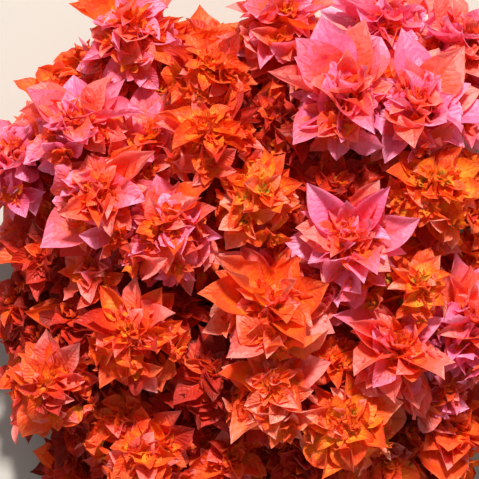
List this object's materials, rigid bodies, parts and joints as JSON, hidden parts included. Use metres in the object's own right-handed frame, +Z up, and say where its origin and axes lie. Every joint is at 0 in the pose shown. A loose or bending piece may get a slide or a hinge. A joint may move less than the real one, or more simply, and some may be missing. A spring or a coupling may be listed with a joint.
{
  "type": "flowering bougainvillea bough",
  "caption": "Cut bougainvillea bough lying down: woody stem and side boughs under a low, dense dome of double papery blooms in pink, coral, salmon and orange.",
  "frame": {"origin": "centre of the bounding box in plan, on the floor that the cut bough lies on", "axes": "+X along the bough towards the cut end of its stem, +Z up out of the top of the blooms"},
  "size_m": [0.3554, 0.3097, 0.1356],
  "materials": {
    "bark": "rough grey-brown bark with fine ridges, pale wood at the cut",
    "bract_pink": "thin, papery, veined, matt with a slight sheen, light shows through",
    "bract_coral": "thin, papery, veined, matt with a slight sheen, light shows through",
    "bract_salmon": "thin, papery, veined, matt with a slight sheen, light shows through",
    "bract_orange": "thin, papery, veined, matt with a slight sheen, light shows through",
    "bract_amber": "thin, papery, veined, matt with a slight sheen, light shows through",
    "bract_deep": "thin, papery, veined, matt with a slight sheen, light shows through",
    "flower": "soft matt pale yellow-green",
    "leaf": "smooth green leaf, slight sheen"
  },
  "bodies": {
    "root": {"bloom_bottom": "bract_amber", "bloom_bottom_left": "bract_orange", "bloom_bottom_right": "bract_salmon", "bloom_centre": "bract_salmon", "bloom_crest": "bract_coral", "bloom_far_right": "bract_pink", "bloom_filling_01": "bract_orange", "bloom_filling_02": "bract_deep", "bloom_filling_03": "bract_orange", "bloom_filling_04": "bract_orange", "bloom_filling_05": "bract_orange", "bloom_filling_06": "bract_orange", "bloom_filling_07": "bract_deep", "bloom_filling_08": "bract_deep", "bloom_filling_09": "bract_deep", "bloom_filling_10": "bract_orange", "bloom_filling_11": "bract_deep", "bloom_filling_12": "bract_orange", "bloom_filling_13": "bract_deep", "bloom_filling_14": "bract_orange", "bloom_filling_15": "bract_deep", "bloom_filling_16": "bract_deep", "bloom_filling_17": "bract_orange", "bloom_filling_18": "bract_deep", "bloom_filling_19": "bract_deep", "bloom_filling_20": "bract_orange", "bloom_filling_21": "bract_orange", "bloom_filling_22": "bract_orange", "bloom_filling_23": "bract_deep", "bloom_filling_24": "bract_orange", "bloom_filling_25": "bract_coral", "bloom_green_eye": "bract_amber", "bloom_heart": "bract_pink", "bloom_inner_left": "bract_coral", "bloom_inner_middle": "bract_amber", "bloom_left_edge": "bract_pink", "bloom_left_high": "bract_pink", "bloom_left_low": "bract_coral", "bloom_low_centre": "bract_salmon", "bloom_low_inner": "bract_orange", "bloom_low_left": "bract_orange", "bloom_lower_right": "bract_coral", "bloom_middle_left": "bract_orange", "bloom_right_side": "bract_amber", "bloom_top_corner": "bract_pink", "bloom_top_middle": "bract_salmon", "bloom_top_right": "bract_pink", "bloom_upper_left": "bract_coral", "bloom_upper_middle": "bract_orange", "bloom_upper_right": "bract_pink", "bough_crest": "bark", "bough_left": "bark", "bough_low_centre": "bark", "bough_low_inner": "bark", "bough_low_left": "bark", "bough_lower_right": "bark", "bough_upper_left": "bark", "bough_upper_middle": "bark", "bough_upper_right": "bark", "main_stem": "bark"}
  },
  "joints": []
}
